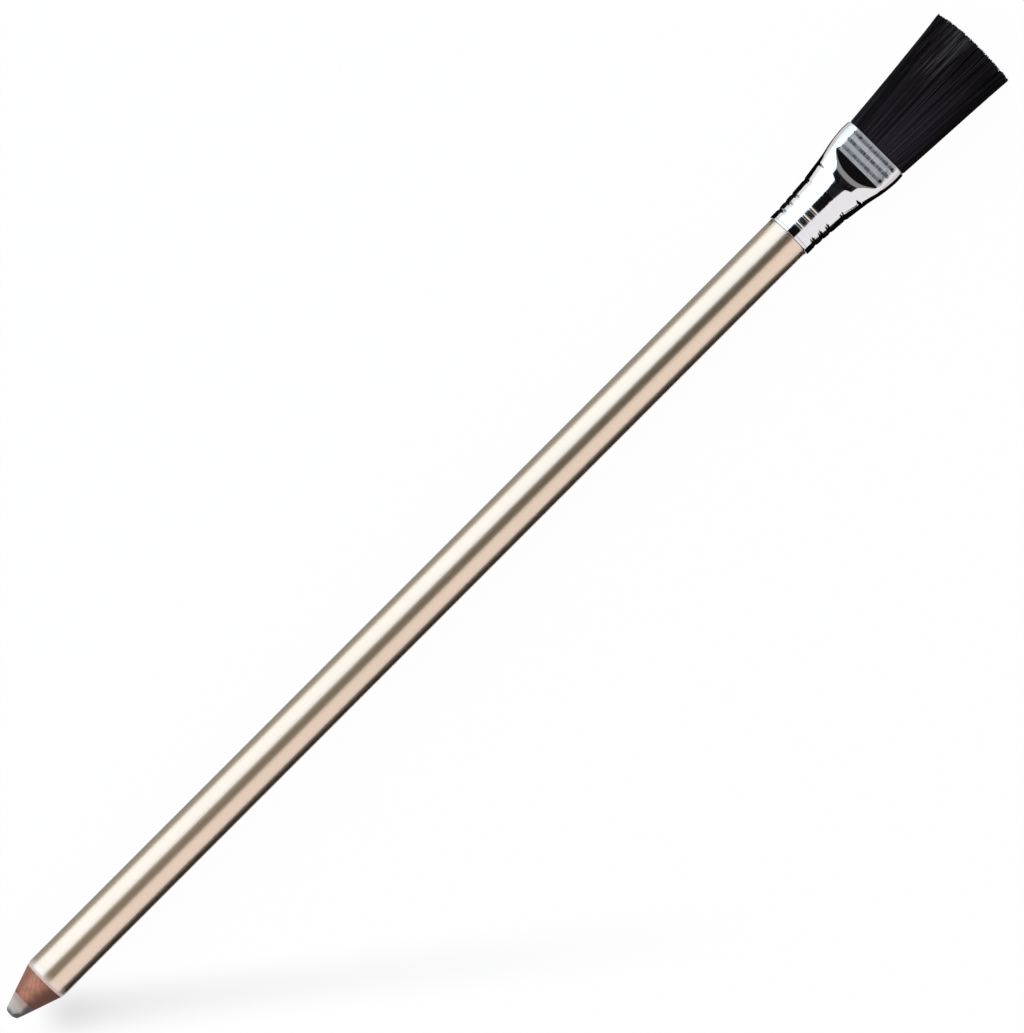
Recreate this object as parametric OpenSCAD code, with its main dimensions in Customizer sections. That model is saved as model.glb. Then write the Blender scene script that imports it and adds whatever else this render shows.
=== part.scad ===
// Eraser pencil with a flat brush. A round, lacquered cedar pencil with a rubber core is
// sharpened at one end. At the other end a thin metal ferrule grips it and holds the bristles.
// It lies along X on a table, with the tip towards -X and the brush's flat faces up and down.
// The origin is on the table, under the middle of the whole length.

/* [Pencil] */
// Length of the wooden pencil, from the worn tip to the butt inside the ferrule
pencil_len = 175; // [90:1:200]
// Outside diameter of the lacquered barrel
barrel_d = 7.5; // [6.8:0.1:9]
// Thickness of the lacquer coat
coat_t = 0.16; // [0.08:0.01:0.3]
// Diameter of the eraser core
core_d = 4.2; // [3:0.1:5]
// Glue film between the eraser core and its groove in the casing
core_glue = 0.02; // [0.01:0.01:0.1]

/* [Sharpened end] */
// Angle between the sharpened cone and the pencil's axis
cone_angle = 19; // [14:0.5:26]
// Diameter to which the cone narrows at the very tip
tip_d = 2.1; // [1.2:0.05:2.8]
// Length over which the worn eraser rounds off
worn_len = 0.5; // [0.2:0.05:0.8]
// Radius of the soft edge where the sharpener cut through the lacquer
coat_edge_r = 2; // [0.2:0.1:2.5]

/* [Ferrule sleeve] */
// Wall thickness of the ferrule
wall = 0.34; // [0.3:0.02:0.46]
// Length of the round sleeve, from its lower edge to the neck groove
sleeve_len = 7.9; // [7.5:0.1:10]
// Length of the sleeve's parallel lower rim
rim_len = 1.9; // [1.2:0.1:2.2]
// How much larger the sleeve's radius is at the neck than at the rim
sleeve_swell = 0.45; // [0.2:0.01:0.6]
// Length of the bare tenon at the pencil's butt, where the lacquer is cut away for the sleeve
tenon_len = 6.5; // [6:0.1:7]
// Glue gap between the tenon and the sleeve's rim
rim_gap = 0.1; // [0.08:0.01:0.22]
// Least clearance between the tenon and the crimps that grip it
crimp_gap = 0.01; // [0.01:0.01:0.03]
// Number of crimp rings round the sleeve
crimps = 3; // [1:1:3]
// Distance from the rim's edge to the first crimp ring
crimp_from = 1.97; // [1.6:0.01:2.1]
// Distance between two crimp rings
crimp_pitch = 1.5; // [1:0.01:1.6]
// Width of a crimp ring
crimp_w = 0.8; // [0.4:0.05:0.95]
// Depth of a crimp ring
crimp_depth = 0.12; // [0.04:0.01:0.17]
// Depth of the neck groove
neck_depth = 0.09; // [0.04:0.01:0.15]
// Width of the neck groove
neck_w = 0.9; // [0.6:0.05:1.2]

/* [Ferrule mouth] */
// How far the tube stands out beyond the neck, where it starts to flatten
shoulder_rise = 0.1; // [0.05:0.01:0.3]
// Length from the neck to the start of the press mark
taper_len = 4.8; // [3:0.1:8]
// Length of the sloped facets that the press leaves
facet_len = 2.15; // [1:0.05:4]
// Length of the flat band, from the facets to the lip
band_len = 4.35; // [3.9:0.05:7]
// Width of the tube at the start of the press mark
press_w = 10.34; // [10:0.02:11]
// Width of the tube at the start of the flat band
band_w = 11.3; // [11:0.02:12]
// Greatest width of the tube
mouth_w = 11.88; // [11.4:0.02:13]
// Distance from the lip to the tube's widest place
widest_back = 1.6; // [1:0.1:2.4]
// Width of the tube at its lip
lip_w = 11.72; // [11:0.02:12.4]
// Thickness of the tube between its pressed faces
mouth_t = 4; // [3.4:0.1:4.6]
// Width of the pressed faces
flat_w = 8.5; // [7.5:0.1:9.3]
// Rounding of the lip's outer edge
lip_round = 0.08; // [0.02:0.01:0.12]
// Number of fine grooves across each pressed face
grooves = 3; // [1:1:3]
// Distance between two grooves
groove_pitch = 1.36; // [0.8:0.02:1.45]
// Distance from the lip to the nearest groove
groove_back = 0.8; // [0.65:0.05:0.85]
// Width of a groove
groove_w = 0.5; // [0.2:0.05:0.6]
// Depth of a groove
groove_depth = 0.07; // [0.02:0.01:0.1]

/* [Bristles] */
// Length of the longest bristles beyond the ferrule's lip
bristle_len = 22.1; // [12:0.1:40]
// Width of the tuft at its tip
tuft_w = 14.9; // [12.5:0.1:18]
// Thickness of the tuft at its tip
tuft_t = 4.9; // [4.2:0.1:7]
// How much shorter the bristles are at the tuft's corners
corner_drop = 1; // [0:0.1:3]
// How unevenly the bristles are cut
ragged = 0.35; // [0:0.05:1]
// Number of bristles across the tuft's width
bristle_cols = 38; // [30:1:44]
// Number of bristles through the tuft's thickness
bristle_rows = 11; // [10:1:11]
// Thickness of a bristle at its tip
bristle_t = 0.18; // [0.1:0.01:0.2]
// How far a bristle's tip strays from its place in the row
stray = 0.05; // [0:0.01:0.08]

/* [Resin] */
// Clearance between the resin and the ferrule's inner wall
resin_gap = 0.03; // [0.01:0.01:0.08]
// How far the set roots lie inside the lip
root_depth = 0.35; // [0.1:0.05:0.6]
// Thickness of the resin slice that carries the bristles
slice_t = 0.8; // [0.4:0.1:1.5]
// Length of the resin plug behind the roots
plug_len = 5.2; // [3:0.1:6]

/* [Hidden] */
$fn = 96;

// Radii of the pencil, from its axis outwards
core_r = core_d / 2;
groove_r = core_r + core_glue;
barrel_r = barrel_d / 2;
wood_r = barrel_r - coat_t;

// Radii and heights of the ferrule
rim_r = wood_r + rim_gap + wall;
neck_r = rim_r + sleeve_swell;
neck_low_r = neck_r - neck_depth;
shoulder_n = neck_w / 2;
band_n = taper_len + facet_len;
flare_len = band_n + band_len;
ferrule_len = sleeve_len + flare_len;
band_h = mouth_t / 2 / sqrt(1 - (flat_w / mouth_w) ^ 2);

// Places along the axis, counted from the tip
ferrule_at = pencil_len - tenon_len;
neck_at = ferrule_at + sleeve_len;
lip_at = ferrule_at + ferrule_len;
root_at = lip_at - root_depth;
total_len = lip_at + bristle_len;

// Points round a section of the flare: a quarter has its flat part and its round part
flat_parts = 3;
round_parts = 13;
quarter = flat_parts + round_parts;
ring = 4 * quarter;
// Least angle from the top that the flat part takes, at the neck and at the press mark
neck_split = 18;
press_split = 4;
// Inset that keeps the flare's first ring within the sleeve's end
join_step = 0.02;
arc_steps = 8;
taper_rings = 5;
facet_rings = 6;

// Share of its root cell that a bristle fills
root_fill = 0.9;
seed = 7;

// Radius of the sharpener's cone at s from the tip, and the place where the cone has radius r
function cone_r(s) = tip_d / 2 + s * tan(cone_angle);
function cone_at(r) = (r - tip_d / 2) / tan(cone_angle);

// Value at x of a smooth curve through the stations t = [[x, y], ...]
function station(x, t, i = 0) = i >= len(t) - 2 || x < t[i + 1][0] ? i : station(x, t, i + 1);
function slope(t, i) =
  let (a = max(i - 1, 0), b = min(i + 1, len(t) - 1))
  (t[b][1] - t[a][1]) / (t[b][0] - t[a][0]);
function smooth(x, t) =
  let (i = station(x, t), h = t[i + 1][0] - t[i][0], u = (x - t[i][0]) / h)
  t[i][1] * (1 + 2 * u) * (1 - u) ^ 2
  + slope(t, i) * h * u * (1 - u) ^ 2
  + t[i + 1][1] * u ^ 2 * (3 - 2 * u)
  - slope(t, i + 1) * h * u ^ 2 * (1 - u);

// A rounded dip of width w centred at c: 1 in its middle, 0 outside it
function dip(x, c, w) = abs(x - c) < w / 2 ? (1 + cos(360 * (x - c) / w)) / 2 : 0;

// Stands the pencil's axis, modelled along Z from the tip, along X over the table
module along_x() {
  translate([-total_len / 2, 0, neck_r]) rotate([0, 90, 0]) children();
}

// One glued half of the casing: a half tube with the sharpener's cone at its front
module half_casing() {
  rotate_extrude(angle = 180)
    polygon([
      [groove_r, cone_at(groove_r)],
      [wood_r, cone_at(wood_r)],
      [wood_r, pencil_len],
      [groove_r, pencil_len],
    ]);
}

module casing_upper() {
  color("#b9705a")
    along_x() rotate([0, 0, 90]) half_casing();
}

module casing_lower() {
  color("#b46b56")
    along_x() rotate([0, 0, -90]) half_casing();
}

// The rubber rod: its worn end rounds off into the sharpener's cone, then comes the plain rod
module eraser_core() {
  squareness = 2.7;
  color("#aba49f")
    along_x() rotate_extrude()
      polygon(concat(
        [for (i = [0:arc_steps])
          let (a = 90 * (1 - i / arc_steps), s = worn_len * (1 - sin(a) ^ (2 / squareness)))
          [cone_r(s) * cos(a) ^ (2 / squareness), s]],
        [[core_r, cone_at(core_r)], [core_r, pencil_len], [0, pencil_len]]
      ));
}

// The lacquer skin, from the soft edge of the sharpener's cut to the shoulder at the ferrule's rim
module lacquer_coat() {
  cut_len = coat_t / sin(cone_angle);
  edge_r = min(coat_edge_r, 0.9 * cut_len / tan(cone_angle / 2));
  arc_end = cone_at(barrel_r) + edge_r * tan(cone_angle / 2);
  color("#e6d3b6")
    along_x() rotate_extrude()
      polygon(concat(
        [[wood_r, cone_at(wood_r)]],
        [for (i = [0:arc_steps])
          let (a = cone_angle * (1 - i / arc_steps))
          [barrel_r - edge_r * (1 - cos(a)), arc_end - edge_r * sin(a)]],
        [[barrel_r, ferrule_at], [wood_r, ferrule_at]]
      ));
}

// Outer radius of the sleeve at f from its rim, and its inner radius, which the tenon limits
function crimp(f) = crimp_depth * max([for (k = [0:crimps - 1]) dip(f, crimp_from + k * crimp_pitch, crimp_w)]);
function swell(f) = sleeve_swell * max(0, f - rim_len) / (sleeve_len - rim_len);
function sleeve_r(f) = rim_r + swell(f) - crimp(f) - neck_depth * dip(f, sleeve_len, neck_w);
function sleeve_in_r(f) = max(sleeve_r(f) - wall, wood_r + crimp_gap);

// The round part of the ferrule, a true revolve from the rim to the bottom of the neck groove
module sleeve() {
  rim_round = wall / 3;
  step = 0.1;
  steps = round((sleeve_len - rim_round) / step);
  stops = [for (i = [0:steps]) rim_round + (sleeve_len - rim_round) * i / steps];
  translate([0, 0, ferrule_at])
    rotate_extrude()
      polygon(concat(
        [for (a = [0:30:60]) [rim_r - rim_round * (1 - sin(a)), rim_round * (1 - cos(a))]],
        [for (f = stops) [sleeve_r(f), f]],
        [for (i = [steps:-1:0]) [sleeve_in_r(stops[i]), stops[i]]],
        [[sleeve_in_r(0), 0]]
      ));
}

// Shape of the flare at n from the neck: half its width, half the height that the oval has
// where no press touched it, and the height of the pressed plane
function half_w(n) =
  n < shoulder_n
  ? neck_low_r + (neck_depth + shoulder_rise) * (1 - dip(n, 0, neck_w))
  : smooth(n, [
      [shoulder_n, neck_r + shoulder_rise],
      [taper_len, press_w / 2],
      [band_n, band_w / 2],
      [flare_len - widest_back, mouth_w / 2],
      [flare_len, lip_w / 2],
    ]);
shoulder_h = neck_r - shoulder_rise;
press_h = shoulder_h + (band_h - shoulder_h) * (taper_len - shoulder_n) / (band_n - shoulder_n);
function oval_h(n) =
  n < shoulder_n
  ? neck_low_r + (shoulder_h - neck_low_r) * n / shoulder_n
  : shoulder_h + (band_h - shoulder_h) * min(1, (n - shoulder_n) / (band_n - shoulder_n));
function plane_h(n) =
  n < taper_len ? neck_r : max(mouth_t / 2, press_h + (mouth_t / 2 - press_h) * (n - taper_len) / facet_len);

// Depth of the fine grooves, which only the pressed plane has
function groove_at(k) = flare_len - groove_back - k * groove_pitch;
function groove(n) = groove_depth * max([for (k = [0:grooves - 1]) dip(n, groove_at(k), groove_w)]);

// A closed ring of points round the flare at n, drawn in by inset, with the plane sunk by sunk.
// It starts at the top and has a point on each edge of the pressed faces.
function section(n, inset, sunk = 0) =
  let (
    a = half_w(n) - inset,
    b = oval_h(n) - inset,
    c = plane_h(n) - inset - sunk,
    least = n < taper_len ? neck_split + (press_split - neck_split) * n / taper_len : press_split,
    edge = max(acos(min(1, c / b)), least),
    p = [for (i = [0:quarter])
      let (
        t = edge + (90 - edge) * (i - flat_parts) / round_parts,
        y = i < flat_parts ? a * sin(edge) * i / flat_parts : a * sin(t)
      )
      [y, min(c, b * sqrt(max(0, 1 - (y / a) ^ 2)))]]
  )
  concat(
    [for (i = [0:quarter - 1]) [p[i][0], p[i][1]]],
    [for (i = [quarter:-1:1]) [p[i][0], -p[i][1]]],
    [for (i = [0:quarter - 1]) [-p[i][0], -p[i][1]]],
    [for (i = [quarter:-1:1]) [-p[i][0], p[i][1]]]
  );
// The same ring as points in space, for an axis along Z from the tip
function placed(pts, s) = [for (p = pts) [-p[1], p[0], s]];

// Triangles between ring r and the next of a stack whose first point has index first
function band(first, r, i) =
  let (a = first + r * ring, j = (i + 1) % ring)
  [[a + i, a + j, a + ring + j], [a + i, a + ring + j, a + ring + i]];
function wall_faces(first, rings) = [for (r = [0:rings - 2], i = [0:ring - 1]) each band(first, r, i)];
function flipped(faces) = [for (f = faces) [f[2], f[1], f[0]]];
// Triangles of a flat rim between an outer and an inner ring
function rim_faces(o, n) =
  [for (i = [0:ring - 1]) let (j = (i + 1) % ring) each [[o + i, o + j, n + j], [o + i, n + j, n + i]]];
// Triangles that close a ring round its middle point
function cap_faces(o, middle) = [for (i = [0:ring - 1]) [middle, o + i, o + (i + 1) % ring]];

// Where the flare has its rings: close where its outline turns or a crease runs
neck_stops = [0, shoulder_n / 2, shoulder_n];
taper_stops = [for (i = [1:taper_rings]) shoulder_n + (taper_len - shoulder_n) * i / taper_rings];
facet_stops = [for (i = [1:facet_rings]) taper_len + facet_len * (i / facet_rings) ^ 2];
groove_stops = [for (k = [grooves - 1:-1:0], e = [-0.5, 0, 0.5]) groove_at(k) + e * groove_w];
lip_stops = [flare_len - 2 * lip_round, flare_len];
outer_stops = concat(neck_stops, taper_stops, facet_stops, groove_stops, lip_stops);
inner_stops = concat(neck_stops, taper_stops, facet_stops, [flare_len - widest_back, flare_len]);

// The flattened part of the ferrule, a thin lofted wall from the neck to the lip
module flare() {
  last = len(outer_stops) - 1;
  rows_out = [for (i = [0:last])
    let (n = outer_stops[i])
    placed(section(n, i == 0 ? join_step : i == last ? lip_round : 0, groove(n)), neck_at + n)];
  rows_in = [for (i = [0:len(inner_stops) - 1])
    let (n = inner_stops[i])
    placed(section(n, i == 0 ? wall - join_step : wall), neck_at + n)];
  inside = ring * len(rows_out);
  polyhedron(
    points = concat([for (r = rows_out) each r], [for (r = rows_in) each r]),
    faces = concat(
      wall_faces(0, len(rows_out)),
      flipped(wall_faces(inside, len(rows_in))),
      flipped(rim_faces(0, inside)),
      rim_faces(inside - ring, inside + ring * (len(rows_in) - 1))
    )
  );
}

module ferrule() {
  color("#c9cacf")
    along_x() union() {
      sleeve();
      flare();
    }
}

// The adhesive block that fills the flattened part behind the roots
module resin_plug() {
  plug_end = flare_len - root_depth - slice_t - resin_gap;
  plug_from = plug_end - plug_len;
  stops = concat([plug_from], [for (n = inner_stops) if (n > plug_from + 0.1 && n < plug_end - 0.1) n], [plug_end]);
  rows = [for (n = stops) placed(section(n, wall + resin_gap), neck_at + n)];
  ends = ring * len(rows);
  color("#c8a45c")
    along_x() polyhedron(
      points = concat([for (r = rows) each r], [[0, 0, neck_at + plug_from], [0, 0, neck_at + plug_end]]),
      faces = concat(
        wall_faces(0, len(rows)),
        flipped(cap_faces(0, ends)),
        cap_faces(ends - ring, ends + 1)
      )
    );
}

// The mouth's inside at its lip: the roots are set in a grid of cells that fills it
root_w = lip_w / 2 - wall - resin_gap;
root_oval_h = band_h - wall - resin_gap;
root_h = mouth_t / 2 - wall - resin_gap;
function cell_corner(i, j) =
  let (z = root_h * (2 * j / bristle_rows - 1), w = root_w * sqrt(1 - (z / root_oval_h) ^ 2))
  [w * (2 * i / bristle_cols - 1), z];
function corners(i, j) = [cell_corner(i, j), cell_corner(i + 1, j), cell_corner(i + 1, j + 1), cell_corner(i, j + 1)];
function middle(p) = (p[0] + p[1] + p[2] + p[3]) / 4;

// The tuft opens evenly from the roots to the tips, so no bristle crosses another.
// The tips of neighbouring rows are staggered, so that the tuft shows no gap right through.
open_y = (tuft_w - bristle_t) / 2 / (root_w * (1 - 1 / bristle_cols));
stagger = tuft_w / bristle_cols / 4;
open_z = (tuft_t - bristle_t) / 2 / (root_h * (1 - 1 / bristle_rows));
bristles = bristle_cols * bristle_rows;
chance = rands(-1, 1, 3 * bristles, seed);
function tip(i, j) =
  let (
    k = 3 * (j * bristle_cols + i),
    u = (2 * i + 1) / bristle_cols - 1,
    v = (2 * j + 1) / bristle_rows - 1,
    m = middle(corners(i, j))
  )
  [
    m[0] * open_y + (stray * chance[k] + (j % 2 == 0 ? stagger : -stagger)) * (1 - u ^ 2),
    m[1] * open_z + stray * chance[k + 1] * (1 - v ^ 2),
    bristle_len - corner_drop * u ^ 2 - ragged * abs(chance[k + 2]),
  ];

// All bristles and the resin slice that carries them, as one closed surface
module bristle_tuft() {
  side = bristle_t / 2;
  square_tip = [[-side, -side], [side, -side], [side, side], [-side, side]];
  cells = [for (j = [0:bristle_rows - 1], i = [0:bristle_cols - 1]) [i, j]];
  grid = [for (j = [0:bristle_rows], i = [0:bristle_cols]) cell_corner(i, j)];
  roots = [for (c = cells)
    let (p = corners(c[0], c[1]), m = middle(p))
    each [for (k = [0:3]) m + (p[k] - m) * root_fill]];
  tips = [for (c = cells) let (t = tip(c[0], c[1])) each [for (q = square_tip) [q[0] + t[0], q[1] + t[1], t[2]]]];
  edge = concat(
    [for (i = [0:bristle_cols - 1]) [i, 0]],
    [for (j = [0:bristle_rows - 1]) [bristle_cols, j]],
    [for (i = [bristle_cols:-1:1]) [i, bristle_rows]],
    [for (j = [bristle_rows:-1:1]) [0, j]]
  );
  g = len(grid);
  t = g + len(roots);
  q = t + len(tips);
  n = len(edge);
  function at(c) = c[1] * (bristle_cols + 1) + c[0];
  color("#2a2226")
    along_x() polyhedron(
      points = concat(
        placed(grid, root_at),
        placed(roots, root_at),
        [for (p = tips) [-p[1], p[0], lip_at + p[2]]],
        placed([for (c = edge) cell_corner(c[0], c[1])], root_at - slice_t),
        [[0, 0, root_at - slice_t]]
      ),
      faces = concat(
        [for (b = [0:bristles - 1], k = [0:3])
          let (
            i = cells[b][0],
            j = cells[b][1],
            c = [at([i, j]), at([i + 1, j]), at([i + 1, j + 1]), at([i, j + 1])],
            l = (k + 1) % 4,
            r0 = g + 4 * b + k,
            r1 = g + 4 * b + l,
            t0 = t + 4 * b + k,
            t1 = t + 4 * b + l
          )
          each [[c[k], r0, r1], [c[k], r1, c[l]], [r0, t0, t1], [r0, t1, r1]]],
        [for (b = [0:bristles - 1]) let (a = t + 4 * b) each [[a, a + 3, a + 2], [a, a + 2, a + 1]]],
        [for (k = [0:n - 1])
          let (l = (k + 1) % n, p0 = at(edge[k]), p1 = at(edge[l]))
          each [[q + k, p0, p1], [q + k, p1, q + l], [q + n, q + k, q + l]]]
      )
    );
}

casing_upper();
casing_lower();
eraser_core();
lacquer_coat();
ferrule();
resin_plug();
bristle_tuft();
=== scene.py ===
"""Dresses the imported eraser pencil: barrel, cedar cone, eraser, ferrule, flat brush and studio."""

import math
import random

import bmesh
import bpy
from bpy.props import FloatProperty, FloatVectorProperty, IntProperty, PointerProperty
from mathutils import Matrix, Vector, noise


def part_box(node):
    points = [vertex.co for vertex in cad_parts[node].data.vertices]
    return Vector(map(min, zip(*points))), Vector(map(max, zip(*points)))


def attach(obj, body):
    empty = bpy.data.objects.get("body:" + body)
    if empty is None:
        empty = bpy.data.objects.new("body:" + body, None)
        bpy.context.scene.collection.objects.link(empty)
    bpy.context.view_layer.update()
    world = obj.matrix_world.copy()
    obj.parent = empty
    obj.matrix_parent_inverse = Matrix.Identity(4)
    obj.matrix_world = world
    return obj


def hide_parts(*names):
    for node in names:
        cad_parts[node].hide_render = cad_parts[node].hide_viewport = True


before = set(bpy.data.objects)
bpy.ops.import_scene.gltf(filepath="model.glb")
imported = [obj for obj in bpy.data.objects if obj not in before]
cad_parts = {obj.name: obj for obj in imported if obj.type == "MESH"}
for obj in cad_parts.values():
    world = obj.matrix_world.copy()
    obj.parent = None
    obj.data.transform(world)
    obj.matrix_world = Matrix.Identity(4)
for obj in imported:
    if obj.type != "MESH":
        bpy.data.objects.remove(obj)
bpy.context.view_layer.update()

bl_info = {
    "name": "Eraser Pencil",
    "version": (1, 0, 0),
    "blender": (4, 5, 0),
    "location": "View3D > Sidebar > Eraser Pencil",
    "description": "Builds the pieces, finishes and studio of an eraser pencil with a flat brush",
    "category": "Add Mesh",
}

MM = 0.001
X, Y, Z = range(3)


def reach(node, axis):
    """The lowest and highest place of a CAD node on one axis, in millimetres."""
    low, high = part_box(node)
    return low[axis] / MM, high[axis] / MM


def span(node, axis):
    """How far a CAD node reaches along one axis, in millimetres."""
    low, high = reach(node, axis)
    return high - low


# Every piece is measured in millimetres from the pencil's tip, along and about its axis
TIP_X = reach("eraser_core", X)[0]
AXIS_Z = sum(reach("lacquer_coat", Z)) / 2
PENCIL_LEN = span("eraser_core", X)
BARREL_R = span("lacquer_coat", Z) / 2
WOOD_R = span("casing_upper", Y) / 2
CORE_R = span("eraser_core", Z) / 2
FERRULE_AT, LIP_AT = (place - TIP_X for place in reach("ferrule", X))
BRUSH_END = reach("bristle_tuft", X)[1] - TIP_X
TUFT_W = span("bristle_tuft", Y)

# Room between pieces, and the thickness of the slice that holds the roots, in millimetres
CORE_GAP = 0.02
BORE_GAP = 0.01
ROOT_GAP = 0.03
SLICE_T = 0.8

# Points closer than this become one
MERGE = 1e-5


def setting(kind, ending="", **fixed):
    """A way to write settings of one kind: each then needs a name, a description and a default."""

    def write(name, text, value, **own):
        return kind(name=name, description=text + ending, default=value, **fixed, **own)

    return write


length = setting(FloatProperty, ", in mm", min=0, max=500, precision=3)
angle = setting(FloatProperty, unit="ROTATION")
share = setting(FloatProperty, min=0, max=1, subtype="FACTOR")
radiance = setting(FloatProperty, min=0)
number = setting(IntProperty)
colour = setting(FloatVectorProperty, size=3, min=0, max=1, subtype="COLOR")


class PencilSettings(bpy.types.PropertyGroup):
    """Sizes and colours of the pencil itself."""

    cone_angle: angle("Cone Angle", "Angle between the cone and the axis", math.radians(19))
    tip_r: length("Tip Radius", "Radius to which the cone narrows at the tip", 1.05)
    worn_len: length("Worn Length", "Length over which the worn eraser rounds off", 0.5)
    wear: length("Wear", "How uneven the worn eraser is", 0.07)
    edge_r: length("Cut Edge Radius", "Radius of the soft edge of the sharpener's cut", 2.0)
    sides: number("Sides", "Faces round the barrel", 128, min=24, max=256)
    lacquer: colour("Lacquer", "Champagne body of the lacquer", (0.76, 0.58, 0.42))
    primer: colour("Primer", "Pale coat that shows where the lacquer is cut", (0.90, 0.74, 0.66))
    cedar_light: colour("Light Cedar", "Early wood", (0.60, 0.245, 0.15))
    cedar_dark: colour("Dark Cedar", "Late wood and pores", (0.34, 0.115, 0.067))
    # Painted shade for the -Y side and the +Y edge of the cone, also used for the darker cedar next to the
    # eraser
    shaded_cedar: colour("Shaded Cedar", "Darker cedar at the sides and by the eraser", (0.15, 0.06, 0.038))
    rubber: colour("Rubber", "Clean eraser", (0.56, 0.485, 0.42))
    # Graphite smudge on the worn eraser, also used as painted shade at its end and on its -Y side
    smudge_and_shade: colour("Smudge And Shade", "Graphite on the worn eraser", (0.07, 0.062, 0.066))


class FerruleSettings(bpy.types.PropertyGroup):
    """Sizes and colour of the metal sleeve."""

    wall: length("Wall", "Thickness of the metal", 0.34)
    sleeve_len: length("Sleeve Length", "Length of the round sleeve up to the neck groove", 7.9)
    rim_len: length("Rim Length", "Length of the parallel rim", 1.9)
    rim_r: length("Rim Radius", "Outer radius of the rim", 4.03)
    swell: length("Swell", "How much the radius grows up to the neck", 0.45)
    crimp_from: length("First Crimp", "Distance from the rim to the first crimp ring", 1.97)
    crimp_pitch: length("Crimp Pitch", "Distance between two crimp rings", 1.5)
    crimp_w: length("Crimp Width", "Width of a crimp ring", 0.8)
    crimp_depth: length("Crimp Depth", "Depth of a crimp ring", 0.12)
    neck_w: length("Neck Width", "Width of the neck groove", 0.9)
    neck_depth: length("Neck Depth", "Depth of the neck groove", 0.09)
    shoulder_rise: length("Shoulder Rise", "How far the tube stands out beyond the neck", 0.1)
    taper_len: length("Taper Length", "Length from the neck to the press mark", 4.62)
    facet_len: length("Facet Length", "Length of the sloped facets of the press mark", 2.33)
    press_w: length("Press Width", "Width of the tube where the press mark starts", 10.34)
    band_w: length("Band Width", "Width of the tube where the flat band starts", 11.3)
    mouth_w: length("Mouth Width", "Greatest width of the tube", 11.88)
    widest_back: length("Widest Place", "Distance from the lip to the widest place", 1.6)
    lip_w: length("Lip Width", "Width of the lip", 11.72)
    mouth_t: length("Mouth Thickness", "Thickness between the pressed faces", 4.0)
    flat_w: length("Flat Width", "Width of the pressed faces", 8.5)
    groove_pitch: length("Groove Pitch", "Distance between two fine grooves", 1.36)
    groove_back: length("Groove Place", "Distance from the lip to the nearest groove", 0.8)
    groove_w: length("Groove Width", "Width of a fine groove", 0.5)
    groove_depth: length("Groove Depth", "Depth of a fine groove", 0.07)
    crease: length("Crease", "Height over which the press mark's edge is rounded", 0.2)
    flatten: share("Flattening", "How much squarer than an oval the tube is about the press mark", 0.7)
    lip_round: length("Lip Round", "Radius of the lip's outer edge", 0.16)
    quarter: number("Quarter", "Faces round a quarter of the tube", 32, min=8, max=64)
    metal: colour("Metal", "Polished plate of the ferrule", (0.775, 0.755, 0.755))


class BrushSettings(bpy.types.PropertyGroup):
    """Sizes and colours of the hair."""

    strands: number("Strands", "Number of hairs", 2700, min=200, max=4000)
    hair_r: length("Hair Radius", "Radius of a hair", 0.058)
    tuft_t: length("Tuft Thickness", "Thickness of the tuft at its tip", 4.7)
    root_depth: length("Root Depth", "How far the roots lie inside the lip", 0.35)
    corner_drop: length("Corner Drop", "How much shorter the corner on the +Y side is", 0.8)
    other_drop: length("Other Drop", "How much shorter the corner on the -Y side is", 0.4)
    bulge: share("Bulge", "How early the hair spreads, as a share of its whole spread", 0.125)
    clumps: number("Clumps", "Number of locks that the tips gather in", 170, min=1, max=400)
    gather: share("Gather", "How closely the tips gather in their locks", 0.24)
    lean: length("Lean", "How far the tips lean to one side", 0.42)
    hair_dark: colour("Dark Hair", "Most of the hair", (0.0032, 0.0022, 0.0032))
    hair_brown: colour("Brown Hair", "The lighter hairs", (0.046, 0.030, 0.043))
    # Dust on the hair's ends, and the colour of the painted glints
    hair_dust_and_glint: colour("Hair Tips", "Dusty ends of the hair", (0.085, 0.078, 0.080))


class StudioSettings(bpy.types.PropertyGroup):
    """Camera, light and floor."""

    lens: FloatProperty(name="Lens", description="Focal length, in mm", default=200, unit="CAMERA")
    distance: FloatProperty(
        name="Distance", description="From the camera to its target", default=0.88, unit="LENGTH"
    )
    turn: angle("Turn", "How far the pencil is turned in the picture", math.radians(45.03))
    tilt: angle("Tilt", "How far the camera leans towards the tip", math.radians(2))
    bright_side: radiance("Bright Panel", "Radiance of the panel on the +Y side", 1.8)
    bright_tint: colour("Bright Tint", "Cool daylight of the panel on the +Y side", (0.717, 0.855, 1.0))
    soft_side: radiance("Soft Panel", "Radiance of the panel on the -Y side", 1.04)
    soft_tint: colour("Soft Tint", "Nearly white light of the panel on the -Y side", (0.98, 0.968, 1.0))
    brush_end: radiance("Brush End Panel", "Radiance of the small panel past the brush", 0.3)
    tip_end: radiance("Tip End Panel", "Radiance of the small panel past the tip", 0.9)
    overhead: radiance("Overhead", "Radiance of the dim card over the barrel", 0.18)
    overhead_tint: colour("Overhead Tint", "Warm light of the dim card over the barrel", (1.0, 0.87, 0.6))
    fill: radiance("Fill", "Strength of the room's own light", 0.005)
    dark_card: colour("Dark Cards", "Cards that darken the edges in reflections", (0.004, 0.003, 0.003))
    grey_card: colour("Grey Card", "Card beside the barrel on the +Y side", (0.45, 0.44, 0.41))
    clean_floor: share("Clean Floor", "Share of plain white in the floor, the rest keeps the shadow", 0.975)
    # Painted shadow on the floor beside the tip
    painted_trail: share("Shadow Trail", "Depth of the faint shadow beside the tip", 0.23)


def math_operator(operation, reflected=False):
    """A Python operator that adds a Math node."""

    def work(self, other):
        terms = (other, self) if reflected else (self, other)
        return self.finish.math_node(operation, *terms)

    return work


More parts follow.
